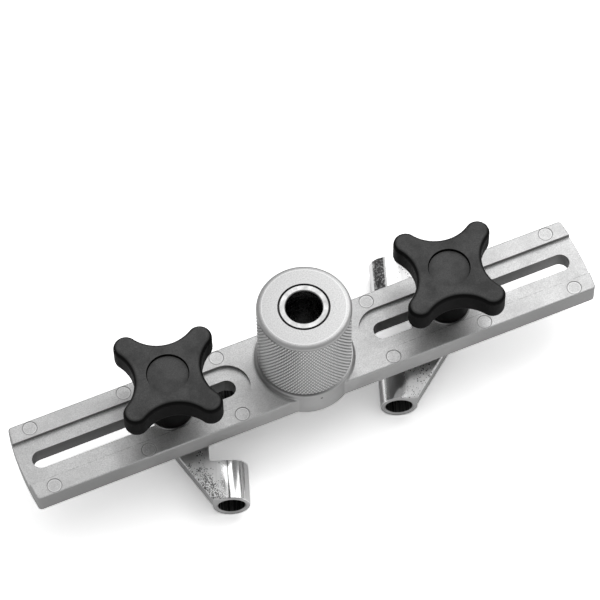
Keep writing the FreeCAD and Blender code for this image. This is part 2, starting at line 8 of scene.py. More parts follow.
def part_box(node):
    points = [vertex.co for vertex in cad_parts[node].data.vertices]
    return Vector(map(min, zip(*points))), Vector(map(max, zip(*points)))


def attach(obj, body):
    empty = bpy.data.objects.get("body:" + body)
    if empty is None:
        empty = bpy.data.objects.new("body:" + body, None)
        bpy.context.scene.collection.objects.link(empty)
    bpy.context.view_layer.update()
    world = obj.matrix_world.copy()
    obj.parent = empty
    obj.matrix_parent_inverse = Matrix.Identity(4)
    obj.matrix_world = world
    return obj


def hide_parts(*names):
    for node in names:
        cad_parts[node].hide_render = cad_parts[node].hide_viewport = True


# looks of the center drill guide, in metres and in the part's own frame, with +Z up and +X along the bar
# the origin is on the floor, under the axis of the drill bush

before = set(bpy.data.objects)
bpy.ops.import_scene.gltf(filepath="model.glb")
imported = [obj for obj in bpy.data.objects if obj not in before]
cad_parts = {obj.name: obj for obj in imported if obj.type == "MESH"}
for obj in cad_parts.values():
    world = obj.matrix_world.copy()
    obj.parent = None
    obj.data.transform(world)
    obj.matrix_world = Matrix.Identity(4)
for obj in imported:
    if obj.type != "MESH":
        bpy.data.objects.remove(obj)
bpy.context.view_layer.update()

MM = 0.001

# sizes of the bar that its node's box doesn't give
TRACK_HALF_WIDTH = 12.0 * MM
SLOT_OUTER_REACH = 143.6 * MM
BOSS_RADIUS = 24.3 * MM
MARK_ROW_OFFSET = 16.9 * MM
MARK_INNER_REACH = 40.3 * MM
MARK_PITCH = 49.1 * MM
MARK_RADIUS = 3.6 * MM
PORE_PLACE = (-1.3 * MM, -24.3 * MM, 38.8 * MM)

# sizes of the drum and of the bush in it
DRUM_EDGE_HEIGHT = 2.0 * MM
DRUM_EDGE_WIDTH = 2.7 * MM
DRUM_EDGE_POINTS = 9
DRUM_FOOT_CHAMFER = 0.3 * MM
SPIGOT_RADIUS = 15.95 * MM
SPIGOT_CHAMFER = 1.0 * MM
SHOULDER_HEIGHT = 2.6 * MM
SHOULDER_RADIUS = 10.6 * MM
BUSH_CLEARANCE = 0.05 * MM
SEAT_CLEARANCE = 0.01 * MM
RING_GROOVE_RELIEF = 0.35 * MM
RING_GROOVE_DEPTH = 0.8 * MM
RING_GROOVE_STEP = 0.3 * MM
BUSH_BORE_RADIUS = 9.0 * MM

# diamond knurl of two opposite helices: angles in degrees, the groove's half width as a share of the pitch
KNURL_STARTS = 82
KNURL_ANGLE = 30.0
KNURL_DEPTH = 0.42 * MM
KNURL_STEPS = 6
KNURL_FADE = 0.5 * MM
KNURL_FOOT_SHARE = 0.4
GROOVE_HALF_WIDTH = 0.34
SHARP_ANGLE = 14.0

# sizes of the arms, with reaches from the stud's axis, and their swing at rest in degrees
ARM_SWING = 19.4
ARM_AXIS_REACH = 26.7 * MM
ARM_HALF_SPAN = 41.0 * MM
ARM_BOSS_RADIUS = 9.2 * MM
ARM_BORE_RADIUS = 6.7 * MM
ARM_BORE_LENGTH = 20.3 * MM
ARM_WEB_RISE = 9.15 * MM
ARM_WING_REACH = 17.7 * MM
ARM_HUB_RADIUS = 7.6 * MM

# a face counts as steep up to the first height of its normal's tip, and as flat from the second on
STEEP = 0.4
FLAT = 0.85

# middle range of a noise's values
NOISE_LOW = 0.3
NOISE_HIGH = 0.7

# tones of the bar, from 0 for black to 1 for white
BAR_TOP_TONES = (0.54, 0.84)
BAR_CLOUD_TONE = 0.58
BAR_SPOT_TONE = 0.46
# the side tones are partly the skin and partly painted shade; the end, underside, inside and foot tones are
# painted shade
BAR_SIDE_SKIN_AND_SHADE_TONES = (0.47, 0.55)
BAR_SIDE_END_SHADE_TONE = 0.29
BAR_UNDERSIDE_SHADE_TONE = 0.24
BAR_INSIDE_SHADE_TONE = 0.26
FOOT_SHADE_TONE = 0.16
PORE_TONE = 0.08
# the mark's lip tone is a painted highlight, and its line tone painted shade
MARK_HIGHLIGHT_TONE = 0.92
MARK_LINE_SHADE_TONE = 0.22
TRACK_EDGE_TONE = 0.25

# tones of the drum and the bush
DRUM_TOP_TONES = (0.54, 0.76)
DRUM_SIDE_TONE = 0.76
# the groove, edge, land and ring groove tones are painted shade, and the rim tone is a painted highlight
DRUM_GROOVE_SHADE_TONE = 0.27
DRUM_RIM_HIGHLIGHT_TONE = 0.80
DRUM_EDGE_SHADE_TONE = 0.54
DRUM_LAND_SHADE_TONE = 0.45
RING_GROOVE_SHADE_TONE = 0.03
BUSH_FACE_TONES = (0.62, 0.46)
BUSH_CHAMFER_TONE = 0.35
# the bore and rim tones are painted shade
BUSH_BORE_SHADE_TONES = (0.40, 0.03)
BUSH_RIM_SHADE_TONE = 0.05

# tones and marks of the arms
PLATING_TONES = (0.86, 0.96)
PIT_TONE = 0.14
# the web's side, crease and bore tones are painted shade
WEB_SIDE_SHADE_TONE = 0.55
CREASE_SHADE_TONE = 0.15
ROUGH_BAND_TONES = (0.09, 0.65)
BOSS_END_TONE = 0.55
BOSS_BORE_SHADE_TONES = (0.04, 0.22)
SPECK_SCALES = (1250.0, 2100.0)
LEAST_PIT_SHARE = 0.03
DULL_CHANCE = 0.75
STREAK_SCALES = (900.0, 30.0, 900.0)
CROWN_START = 16.0 * MM
CROWN_FACTOR = 6.0
ROUGH_BAND_OFFSET = 4.8 * MM

# the left arm is the more pitted one, and the right arm has a rough band on its rear boss
ARM_LOOKS = {
    "left": {"turn": -ARM_SWING, "pit_share": 0.75, "crease_shade_share": 0.8, "rough_side": 0},
    "right": {"turn": 180.0 - ARM_SWING, "pit_share": 0.15, "crease_shade_share": 0.1, "rough_side": -1},
}

# tones of the small pieces
KNOB_TONE = 0.104
CAP_TONE = 0.11
PLASTIC_SHEEN = 0.05
WASHER_TONE = 0.5
STUD_TONE = 0.6
BRASS_COLOUR = (0.75, 0.55, 0.27)

# the surround's light is high toward its bright side, and falls to low over a range of cosines
SURROUND_BRIGHT = Vector((0.30, 0.15, 0.94))
SURROUND_HIGH = 0.62
SURROUND_LOW = 0.38
SURROUND_RANGE = (0.2, 0.95)

# the floor's light as the camera sees it and as the part mirrors it, which drops to a shade near the part
FLOOR_SIZE = 12.0
FLOOR_SEEN = 2.4
FLOOR_MIRRORED = 1.35
FLOOR_SHADE = 0.8
FLOOR_SHADE_REACH = 0.06
FLOOR_OPEN_RANGE = (0.45, 0.95)
FLOOR_SAMPLES = 8

# lamps
KEY_PLACE = (0.48, 0.45, 1.10)
KEY_SIZE = (0.9, 0.9)
KEY_POWER = 2.6
SIDE_PLACE = (0.86, 0.38, 0.78)
SIDE_SIZE = (0.7, 0.7)
SIDE_POWER = 1.4

# the photograph's view
VIEW_TARGET = Vector((0.01014, 0.03006, 0.04))
VIEW_AZIMUTH = -21.929
VIEW_ELEVATION = 60.501
VIEW_ROLL = -1.244
VIEW_DISTANCE = 1.64062
VIEW_LENS = 198.14
VIEW_SENSOR = 36.0
VIEW_CLIP = (0.05, 30.0)


def grey(level):
    return (level, level, level)


class Shader:
    """Node tree of one material, built round its Principled shader."""

    def __init__(self, name, colour, metallic, roughness):
        self.material = bpy.data.materials.new(name)
        self.material.use_nodes = True
        self.tree = self.material.node_tree
        self.surface = self.tree.nodes["Principled BSDF"]
        self.set(Base_Color=(*colour, 1.0), Metallic=metallic, Roughness=roughness)
        self.place = self.add("ShaderNodeTexCoord").outputs["Object"]

    def put(self, socket, source):
        """Feeds an input from another node's output, or sets it."""
        if isinstance(source, bpy.types.NodeSocket):
            self.tree.links.new(source, socket)
        else:
            socket.default_value = source

    def set(self, **inputs):
        """Inputs of the Principled shader, with _ for each space of their names."""
        for name, source in inputs.items():
            self.put(self.surface.inputs[name.replace("_", " ")], source)

    def add(self, kind, settings=(), **inputs):
        """New node, with its settings and with _ for each space of its inputs' names."""
        node = self.tree.nodes.new(kind)
        for name, choice in settings:
            setattr(node, name, choice)
        for name, source in inputs.items():
            self.put(node.inputs[name.replace("_", " ")], source)
        return node

    def noise(self, scale, place=None, detail=3.0, roughness=0.6):
        """Noise with about scale cells a metre."""
        node = self.add("ShaderNodeTexNoise", Vector=place or self.place, Scale=scale, Detail=detail,
                        Roughness=roughness)
        return node.outputs["Fac"]

    def smooth_noise(self, scale, place):
        """Noise with fewer fine details."""
        return self.noise(scale, place, detail=2.0, roughness=0.5)

    def ring_noise(self, scale):
        """Noise in rings round the drill axis."""
        reach = self.add("ShaderNodeCombineXYZ", X=self.axis_distance())
        return self.smooth_noise(scale, reach.outputs["Vector"])

    def ramp(self, source, low, high, low_value=0.0, high_value=1.0, smooth=False):
        """Value that runs from low_value at low to high_value at high."""
        settings = [("interpolation_type", "SMOOTHSTEP" if smooth else "LINEAR")]
        node = self.add("ShaderNodeMapRange", settings, Value=source)
        ends = {"From Min": low, "From Max": high, "To Min": low_value, "To Max": high_value}
        for name, number in ends.items():
            self.put(node.inputs[name], number)
        return node.outputs["Result"]

    def spread(self, noise, low_value=0.0, high_value=1.0):
        """Noise spread from low_value to high_value."""
        return self.ramp(noise, NOISE_LOW, NOISE_HIGH, low_value, high_value)

    def near(self, value, target, far, close, share=1.0):
        """The share where value is within close of target, and 0 where it is beyond far from it."""
        gap = self.calc("ABSOLUTE", self.calc("SUBTRACT", value, target))
        return self.ramp(gap, far, close, 0.0, share)

    def calc(self, operation, first, second=0.0):
        """Result of an operation on one or two values."""
        node = self.add("ShaderNodeMath", [("operation", operation)])
        self.put(node.inputs[0], first)
        self.put(node.inputs[1], second)
        return node.outputs[0]

    def times(self, first, *others):
        """Product of all the values."""
        product = first
        for other in others:
            product = self.calc("MULTIPLY", product, other)
        return product

    def vector_calc(self, operation, first, second):
        """Outputs of an operation on two vectors."""
        node = self.add("ShaderNodeVectorMath", [("operation", operation)])
        self.put(node.inputs[0], first)
        self.put(node.inputs[1], second)
        return node.outputs

    def mix(self, share, first, second):
        """Colour between two others."""
        node = self.add("ShaderNodeMix", [("data_type", "RGBA")])
        self.put(node.inputs["Factor"], share)
        # the node has sockets for every type of data, and these are the ones for colours
        for socket, source in zip(node.inputs[6:8], (first, second)):
            self.put(socket, source if isinstance(source, bpy.types.NodeSocket) else (*source, 1.0))
        return node.outputs[2]

    def greys(self, share, tones):
        """Grey between two tones."""
        return self.mix(share, grey(tones[0]), grey(tones[1]))

    def cover(self, colour, share, tone):
        """Colour with a share of it covered by a grey."""
        return self.mix(share, colour, grey(tone))

    def bump(self, height, distance, strength=1.0, below=None):
        """Normal of a surface raised by height, on top of the normal of another bump."""
        node = self.add("ShaderNodeBump", Height=height, Distance=distance, Strength=strength)
        if below is not None:
            self.put(node.inputs["Normal"], below)
        return node.outputs["Normal"]

    def split(self, vector):
        """X, Y and Z of a vector."""
        return self.add("ShaderNodeSeparateXYZ", Vector=vector).outputs

    def length(self, first, second):
        """Length of the flat vector of two coordinates."""
        squares = [self.calc("MULTIPLY", side, side) for side in (first, second)]
        return self.calc("SQRT", self.calc("ADD", *squares))

    def axis_distance(self):
        """Distance of a point from the drill axis."""
        place = self.split(self.place)
        return self.length(place["X"], place["Y"])

    def facing_up(self, low, high):
        """Value that runs from 0 to 1 as the height of the normal's tip runs from low to high."""
        normal = self.add("ShaderNodeTexCoord").outputs["Normal"]
        return self.ramp(self.split(normal)["Z"], low, high)


def cast_aluminium():
    """Die-cast skin: pale blasted faces on top, sides darker partly from their skin and partly from painted
    shade, painted shade under the bar, on its slot and track walls and round the drum's foot, and a painted
    shade line with a painted highlight round each mark.
    """
    s = Shader("cast_aluminium", grey(0.72), 1.0, 0.5)
    grain = s.noise(1700.0)
    clouds = s.noise(60.0)
    spots = s.noise(520.0)
    place = s.split(s.place)
    off_middle = s.calc("ABSOLUTE", place["Y"])
    reach = s.axis_distance()
    on_top = s.facing_up(STEEP, FLAT)
    tone = s.greys(s.spread(grain), BAR_TOP_TONES)
    tone = s.cover(tone, s.spread(clouds, 0.0, 0.4), BAR_CLOUD_TONE)
    tone = s.cover(tone, s.ramp(spots, 0.4, 0.7, 0.0, 0.3), BAR_SPOT_TONE)

    # painted shade on the walls of the slots and tracks, and on the sides toward the bar's ends
    inside = s.times(s.ramp(off_middle, TRACK_HALF_WIDTH + 0.3 * MM, TRACK_HALF_WIDTH + 0.1 * MM),
                     s.ramp(reach, BOSS_RADIUS + 1.6 * MM, BOSS_RADIUS + 2.0 * MM),
                     s.ramp(reach, SLOT_OUTER_REACH + 0.6 * MM, SLOT_OUTER_REACH + 0.2 * MM))
    # the sides are darker than the top, partly from their own skin and partly from painted shade
    side = s.greys(s.ramp(clouds, 0.35, 0.65), BAR_SIDE_SKIN_AND_SHADE_TONES)
    side = s.cover(side, s.ramp(reach, 40.0 * MM, 130.0 * MM, 0.0, 0.75), BAR_SIDE_END_SHADE_TONE)
    # painted shade on the bar's underside
    side = s.cover(side, s.facing_up(-STEEP, -FLAT), BAR_UNDERSIDE_SHADE_TONE)
    tone = s.mix(s.facing_up(FLAT, STEEP), tone, s.cover(side, inside, BAR_INSIDE_SHADE_TONE))

    # painted shade round the drum's foot, most of it toward the front left
    drum_low, drum_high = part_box("guide_drum")
    foot_reach = (drum_high.x - drum_low.x) / 2
    toward_right = s.calc("ADD", place["X"], s.calc("MULTIPLY", place["Y"], 0.7))
    shaded = s.ramp(toward_right, 2.0 * MM, -22.0 * MM, 0.1, 0.9)
    round_foot = s.ramp(reach, foot_reach + 3.4 * MM, foot_reach + 1.2 * MM, smooth=True)
    tone = s.cover(tone, s.times(round_foot, shaded, on_top), FOOT_SHADE_TONE)

    # a casting pore in the boss's front
    pore_distance = s.vector_calc("DISTANCE", s.place, PORE_PLACE)["Value"]
    tone = s.cover(tone, s.ramp(pore_distance, 0.8 * MM, 0.35 * MM), PORE_TONE)

    # a line on the rim of each mark of the four rows, bumped in and darkened with painted shade, with a
    # painted highlight just inside it
    along = s.calc("SUBTRACT", s.calc("ABSOLUTE", place["X"]), MARK_INNER_REACH)
    along = s.calc("PINGPONG", s.calc("ABSOLUTE", along), MARK_PITCH / 2)
    across = s.calc("SUBTRACT", off_middle, MARK_ROW_OFFSET)
    off_rim = s.calc("SUBTRACT", s.length(along, across), MARK_RADIUS)
    line = s.times(s.near(off_rim, 0.0, 0.24 * MM, 0.12 * MM), on_top)
    patchy = s.ramp(clouds, 0.4, 0.6, 0.2, 0.7)
    mark_highlight = s.times(s.near(off_rim, -0.45 * MM, 0.3 * MM, 0.15 * MM), on_top, patchy)
    tone = s.cover(tone, mark_highlight, MARK_HIGHLIGHT_TONE)

    # the low front edge of the tracks shows as a broken line
    edge = s.near(place["Y"], -TRACK_HALF_WIDTH, 0.3 * MM, 0.15 * MM)
    edge = s.times(edge, s.ramp(reach, 42.0 * MM, 48.0 * MM), s.ramp(spots, 0.42, 0.56, 0.1, 0.7))
    tone = s.cover(tone, edge, TRACK_EDGE_TONE)
    # painted shade in the line round each mark
    tone = s.cover(tone, s.times(line, s.spread(grain, 0.3, 0.8)), MARK_LINE_SHADE_TONE)
    normal = s.bump(grain, 0.05 * MM, 0.6)
    normal = s.bump(spots, 0.08 * MM, 0.6, normal)
    normal = s.bump(s.calc("SUBTRACT", 1.0, line), 0.12 * MM, 0.7, normal)
    s.set(Base_Color=tone, Roughness=s.spread(clouds, 0.44, 0.54), Normal=normal)
    return s.material


def turned_aluminium(radius, knurl_high, groove_radius):
    """Satin drum: faint tool rings on its flat top, painted shade in its knurl's grooves, on its rounded
    edge, on the land below it and in its ring groove, and a painted highlight round its flat top.
    """
    s = Shader("turned_aluminium", grey(0.80), 1.0, 0.4)
    grain = s.noise(1500.0)
    reach = s.axis_distance()
    height = s.split(s.place)["Z"]
    tone = s.greys(s.spread(grain), DRUM_TOP_TONES)

    # the side, with painted shade down in its grooves
    on_side = s.ramp(height, knurl_high + 0.4 * MM, knurl_high - 0.2 * MM)
    tone = s.cover(tone, on_side, DRUM_SIDE_TONE)
    depth = s.calc("POWER", s.ramp(reach, radius - 0.05 * MM, radius - KNURL_DEPTH), 0.7)
    tone = s.cover(tone, s.times(depth, on_side), DRUM_GROOVE_SHADE_TONE)

    # a painted highlight round the flat top, and painted shade on the rounded edge outside it and on the
    # land below that edge
    rim = s.near(reach, radius - DRUM_EDGE_WIDTH, 0.3 * MM, 0.1 * MM)
    tone = s.cover(tone, rim, DRUM_RIM_HIGHLIGHT_TONE)
    rounded = s.times(s.facing_up(0.985, 0.88), s.calc("SUBTRACT", 1.0, on_side))
    tone = s.cover(tone, rounded, DRUM_EDGE_SHADE_TONE)
    tone = s.cover(tone, s.near(height, knurl_high, 0.9 * MM, 0.3 * MM), DRUM_LAND_SHADE_TONE)
    # painted shade in the ring groove round the bush
    in_groove = s.ramp(reach, groove_radius + 0.2 * MM, groove_radius + 0.1 * MM)
    tone = s.cover(tone, in_groove, RING_GROOVE_SHADE_TONE)
    normal = s.bump(s.ring_noise(2600.0), 0.03 * MM, 0.7)
    normal = s.bump(grain, 0.02 * MM, 0.5, normal)
    s.set(Base_Color=tone, Roughness=s.spread(grain, 0.40, 0.48), Normal=normal)
    return s.material


def ground_steel():
    """Bright ground bush, with painted shade deeper down its bore and at its outer rim by the ring groove.
    """
    s = Shader("ground_steel", grey(0.80), 1.0, 0.2)
    bush_low, bush_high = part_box("guide_bush")
    rim = (bush_high.x - bush_low.x) / 2 - RING_GROOVE_STEP
    smudge = s.noise(300.0)
    reach = s.axis_distance()
    depth = s.calc("SUBTRACT", bush_high.z, s.split(s.place)["Z"])
    on_chamfer = s.ramp(reach, BUSH_BORE_RADIUS + 0.7 * MM, BUSH_BORE_RADIUS + 0.3 * MM)
    in_bore = s.ramp(reach, BUSH_BORE_RADIUS + 0.15 * MM, BUSH_BORE_RADIUS + 0.02 * MM)
    # painted shade, darker deeper down the bore
    bore = s.greys(s.ramp(depth, 1.0 * MM, 8.0 * MM), BUSH_BORE_SHADE_TONES)
    tone = s.greys(s.ramp(smudge, 0.35, 0.7), BUSH_FACE_TONES)
    tone = s.cover(tone, on_chamfer, BUSH_CHAMFER_TONE)
    tone = s.mix(in_bore, tone, bore)
    # painted shade at the outer rim, by the ring groove
    tone = s.cover(tone, s.ramp(reach, rim - 0.3 * MM, rim - 0.15 * MM), BUSH_RIM_SHADE_TONE)
    normal = s.bump(s.ring_noise(5000.0), 0.01 * MM, 0.4)
    s.set(Base_Color=tone, Roughness=s.spread(smudge, 0.2, 0.32), Normal=normal)
    return s.material


def web_edge_distance(s, along, outward):
    """Distance inward from the slanted edges of an arm's web."""
    wing_length = math.hypot(ARM_HALF_SPAN, ARM_WING_REACH)
    slant = math.atan2(ARM_HALF_SPAN, ARM_WING_REACH) - math.asin(ARM_HUB_RADIUS / wing_length)
    past_corner = s.calc("MULTIPLY", s.calc("SUBTRACT", along, ARM_WING_REACH), math.sin(slant))
    beside_corner = s.calc("MULTIPLY", s.calc("SUBTRACT", outward, ARM_HALF_SPAN), math.cos(slant))
    return s.calc("SUBTRACT", past_corner, beside_corner)


def web_specks(s, local, on_web, crowd, pit_share):
    """Dark pits of an arm's web, which crowd where crowd is high, and dull specks all over it."""
    dark_chance = s.ramp(crowd, 0.0, 1.0, LEAST_PIT_SHARE, pit_share)
    pitted = 0.0
    dull = 0.0
    for scale in SPECK_SCALES:
        cells = s.add("ShaderNodeTexVoronoi", Vector=local, Scale=scale).outputs
        chance = s.split(cells["Color"])["X"]
        speck = s.times(s.ramp(cells["Distance"], 0.5, 0.4), on_web)
        pitted = s.calc("MAXIMUM", pitted, s.times(speck, s.calc("LESS_THAN", chance, dark_chance)))
        dull = s.calc("MAXIMUM", dull, s.times(speck, s.calc("GREATER_THAN", chance, DULL_CHANCE)))
    return pitted, dull


def plated_casting(name, pivot_x, turn, pit_share, crease_shade_share, rough_side):
    """Bright plating on a rough casting: pitted web, streaked bosses, satin ends, and painted shade on the
    web's sides, along the crease and in the bores.
    """
    s = Shader(name, grey(0.85), 1.0, 0.14)

    # coordinates from the stud's axis, with X toward the axis of the bosses and Y along it
    mapping = s.add("ShaderNodeMapping", [("vector_type", "TEXTURE")], Vector=s.place,
                    Location=(pivot_x, 0.0, 0.0), Rotation=(0.0, 0.0, math.radians(turn)))
    local = mapping.outputs["Vector"]
    place = s.split(local)
    outward = s.calc("ABSOLUTE", place["Y"])
    bore_distance = s.length(s.calc("SUBTRACT", place["X"], ARM_AXIS_REACH),
                             s.calc("SUBTRACT", place["Z"], ARM_BOSS_RADIUS))

    # 1 on the web and 0 on the bosses, once with a narrow and once with a wide border
    on_web = s.ramp(place["X"], ARM_AXIS_REACH - 2.2 * MM, ARM_AXIS_REACH - 4.2 * MM)
    satin = s.ramp(place["X"], ARM_AXIS_REACH - 1.0 * MM, ARM_AXIS_REACH - 7.0 * MM, smooth=True)

    # 1 on the bosses' outer ends and in the mouths of their bores
    on_end = s.ramp(outward, ARM_HALF_SPAN - 0.35 * MM, ARM_HALF_SPAN - 0.15 * MM)
    mouth = s.times(s.ramp(bore_distance, ARM_BORE_RADIUS + 0.85 * MM, ARM_BORE_RADIUS + 0.75 * MM),
                    s.ramp(outward, ARM_HALF_SPAN - 0.9 * MM, ARM_HALF_SPAN - 0.75 * MM))
    on_end = s.calc("MAXIMUM", on_end, mouth)
    boss_start = ARM_HALF_SPAN - ARM_BORE_LENGTH
    in_bore = s.times(s.ramp(bore_distance, ARM_BORE_RADIUS + 0.12 * MM, ARM_BORE_RADIUS + 0.04 * MM),
                      s.ramp(outward, boss_start - 0.1 * MM, boss_start))

    # pits are sparse, and crowd in patches along the web's slanted edges
    patches = s.noise(160.0, local)
    crowd = s.times(s.ramp(web_edge_distance(s, place["X"], outward), 9.0 * MM, 4.0 * MM),
                    s.ramp(outward, 20.0 * MM, 27.0 * MM), s.ramp(patches, 0.38, 0.5))
    pitted, dull = web_specks(s, local, on_web, crowd, pit_share)
    waves = s.smooth_noise(150.0, local)
    streaks = s.smooth_noise(1.0, s.vector_calc("MULTIPLY", local, STREAK_SCALES)["Vector"])

    # the web is shaded as if a little crowned toward its ends
    drop = s.calc("POWER", s.calc("MAXIMUM", s.calc("SUBTRACT", outward, CROWN_START), 0.0), 2.0)
    crowned = s.bump(s.calc("MULTIPLY", drop, -CROWN_FACTOR), 1.0)
    level = s.add("ShaderNodeNewGeometry").outputs["Normal"]
    normal = s.bump(waves, 0.12 * MM, 0.22, s.mix(satin, level, crowned))
    normal = s.bump(streaks, 0.05 * MM, 0.18, normal)
    tone = s.cover(s.greys(s.spread(streaks), PLATING_TONES), pitted, PIT_TONE)
    # painted shade on the web's steep sides
    tone = s.cover(tone, s.times(on_web, s.facing_up(0.5, 0.1)), WEB_SIDE_SHADE_TONE)

    # painted shade along the crease where the web meets the bosses
    crease_reach = ARM_AXIS_REACH - math.sqrt(ARM_BOSS_RADIUS ** 2 - ARM_WEB_RISE ** 2)
    crease_shade = s.near(place["X"], crease_reach, 0.45 * MM, 0.15 * MM, crease_shade_share)
    tone = s.cover(tone, crease_shade, CREASE_SHADE_TONE)

    # a rough dark band left by the mould along one boss
    if rough_side:
        band = s.near(place["X"], ARM_AXIS_REACH + ROUGH_BAND_OFFSET, 3.1 * MM, 2.5 * MM)
        on_boss = s.ramp(s.calc("MULTIPLY", place["Y"], rough_side), 0.0, 5.0 * MM)
        rough_band = s.times(band, on_boss)
        skin = s.noise(850.0, local, roughness=0.7)
        tone = s.mix(rough_band, tone, s.greys(s.ramp(skin, 0.48, 0.68), ROUGH_BAND_TONES))
        normal = s.bump(s.times(skin, rough_band), 0.15 * MM, 0.5, normal)
    tone = s.cover(tone, on_end, BOSS_END_TONE)
    # painted shade in the bores
    tone = s.mix(in_bore, tone, s.greys(s.ramp(streaks, 0.4, 0.6), BOSS_BORE_SHADE_TONES))
    rough = s.calc("ADD", s.spread(waves, 0.1, 0.2), s.calc("MULTIPLY", satin, 0.22))
    rough = s.calc("MAXIMUM", rough, s.calc("MULTIPLY", dull, 0.6))
    rough = s.calc("MAXIMUM", rough, s.calc("MULTIPLY", s.calc("MAXIMUM", on_end, in_bore), 0.4))
    s.set(Base_Color=tone, Roughness=rough, Normal=normal)
    return s.material


def moulded_plastic(name, tone):
    """Black plastic with a fine matte grain, cloudy, and with painted shade that makes its steep sides much
    darker.
    """
    s = Shader(name, grey(tone), 0.0, 0.5)
    grain = s.noise(1600.0)
    clouds = s.noise(90.0)
    colour = s.greys(s.ramp(grain, 0.3, 0.75), (tone * 0.8, tone * 1.3))
    colour = s.cover(colour, s.ramp(clouds, 0.4, 0.64, 0.0, 0.6), tone * 0.5)
    # painted shade on the steep sides
    colour = s.cover(colour, s.facing_up(0.98, 0.75), tone * 0.05)
    s.set(Base_Color=colour, Roughness=s.spread(clouds, 0.46, 0.58), Normal=s.bump(grain, 0.04 * MM, 0.6),
          Specular_IOR_Level=PLASTIC_SHEEN)
    return s.material


def plain_metal(name, colour, roughness):
    """Plated or turned small part, with a fine unevenness."""
    s = Shader(name, colour, 1.0, roughness)
    grain = s.noise(900.0)
    darker = tuple(0.8 * level for level in colour)
    s.set(Base_Color=s.mix(s.spread(grain), colour, darker),
          Roughness=s.spread(grain, roughness, roughness + 0.12), Normal=s.bump(grain, 0.02 * MM, 0.4))
    return s.material


def paint(node, material):
    """Gives a CAD node its material."""
    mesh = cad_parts[node].data
    mesh.materials.clear()
    mesh.materials.append(material)


def groove(phase):
    """Depth share of a V groove with a flat land: 1 at whole phases, 0 on the land."""
    across = np.abs(phase - np.round(phase))
    return np.clip(1.0 - across / GROOVE_HALF_WIDTH, 0.0, 1.0)


def turned_profile(radius, bore, foot, low, high):
    """Profile outside the knurl, as (radius, height): from the foot inwards, up the bore, over the edge."""
    seat = low + SHOULDER_HEIGHT - SEAT_CLEARANCE
    inside = [
        (radius - DRUM_FOOT_CHAMFER, foot),
        (SPIGOT_RADIUS, foot),
        (SPIGOT_RADIUS, low + SPIGOT_CHAMFER),
        (SPIGOT_RADIUS - SPIGOT_CHAMFER, low),
        (SHOULDER_RADIUS, low),
        (SHOULDER_RADIUS, seat),
        (bore, seat),
        (bore, high - RING_GROOVE_DEPTH),
        (bore + RING_GROOVE_RELIEF, high - RING_GROOVE_DEPTH),
        (bore + RING_GROOVE_RELIEF, high),
    ]
    edge = []
    for turn in np.linspace(math.pi / 2, 0.0, DRUM_EDGE_POINTS):
        edge.append((radius + DRUM_EDGE_WIDTH * (math.cos(turn) - 1.0),
                     high + DRUM_EDGE_HEIGHT * (math.sin(turn) - 1.0)))
    return inside + edge


def drum_faces(rings, columns, knurl_start):
    """Faces round the closed profile, split in the knurl along the deeper of the two groove families."""
    faces = []
    for ring in range(rings):
        next_ring = (ring + 1) % rings
        in_knurl = knurl_start <= ring < rings - 1
        row = ring - knurl_start
        for column in range(columns):
            next_column = (column + 1) % columns
            corners = (ring * columns + column, ring * columns + next_column,
                       next_ring * columns + next_column, next_ring * columns + column)
            rising = groove((column + row + 1) / KNURL_STEPS)
            falling = groove((column - row) / KNURL_STEPS)
            if not in_knurl:
                faces.append(corners)
            elif rising > falling:
                faces.append((corners[0], corners[1], corners[3]))
                faces.append((corners[1], corners[2], corners[3]))
            else:
                faces.append((corners[0], corners[1], corners[2]))
                faces.append((corners[0], corners[2], corners[3]))
    return faces


def knurled_drum():
    """Guide drum as one closed mesh: the turned profile of its node, with the knurl cut into its side."""
    low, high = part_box("guide_drum")
    bush_low, bush_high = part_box("guide_bush")
    radius = (high.x - low.x) / 2
    bore = (bush_high.x - bush_low.x) / 2 + BUSH_CLEARANCE
    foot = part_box("bar")[1].z
    knurl_low = foot + DRUM_FOOT_CHAMFER
    knurl_high = high.z - DRUM_EDGE_HEIGHT

    # each row moves the knurl on by a whole share of its pitch, so that grooves run through mesh corners
    spacing = 2 * math.pi * radius / KNURL_STARTS / math.tan(math.radians(KNURL_ANGLE))
    rows = round((knurl_high - knurl_low) / spacing * KNURL_STEPS)
    columns = KNURL_STARTS * KNURL_STEPS
    heights = np.linspace(knurl_high, knurl_low, rows + 1)[1:]
    plain = turned_profile(radius, bore, foot, low.z, high.z)
    profile = plain + [(radius, height) for height in heights]
    turns = 2 * math.pi * np.arange(columns) / columns
    radii = np.array([[point[0]] for point in profile]) * np.ones(columns)
    levels = np.array([[point[1]] for point in profile]) * np.ones(columns)
    side = slice(len(plain), len(profile))
    round_phase = np.arange(columns)[None, :] / KNURL_STEPS
    height_phase = np.arange(rows, dtype=float)[:, None] / KNURL_STEPS
    cut = np.maximum(groove(round_phase + height_phase), groove(round_phase - height_phase))
    fade_above = np.clip((knurl_high - levels[side]) / KNURL_FADE, 0.0, 1.0)
    fade_below = np.clip((levels[side] - knurl_low) / KNURL_FADE + KNURL_FOOT_SHARE, 0.0, 1.0)
    radii[side] -= KNURL_DEPTH * cut * (fade_above * fade_below)
    points = np.stack([radii * np.cos(turns), radii * np.sin(turns), levels], axis=-1).reshape(-1, 3)

    mesh = bpy.data.meshes.new("knurled_drum")
    mesh.from_pydata(points.tolist(), [], drum_faces(len(profile), columns, len(plain)))
    mesh.validate()
    drum = bpy.data.objects.new("knurled_drum", mesh)
    bpy.context.scene.collection.objects.link(drum)
    mesh.materials.append(turned_aluminium(radius, knurl_high, bore + RING_GROOVE_RELIEF))
    for polygon in mesh.polygons:
        polygon.use_smooth = True
    mesh.set_sharp_from_angle(angle=math.radians(SHARP_ANGLE))
    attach(drum, "drum")
    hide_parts("guide_drum")


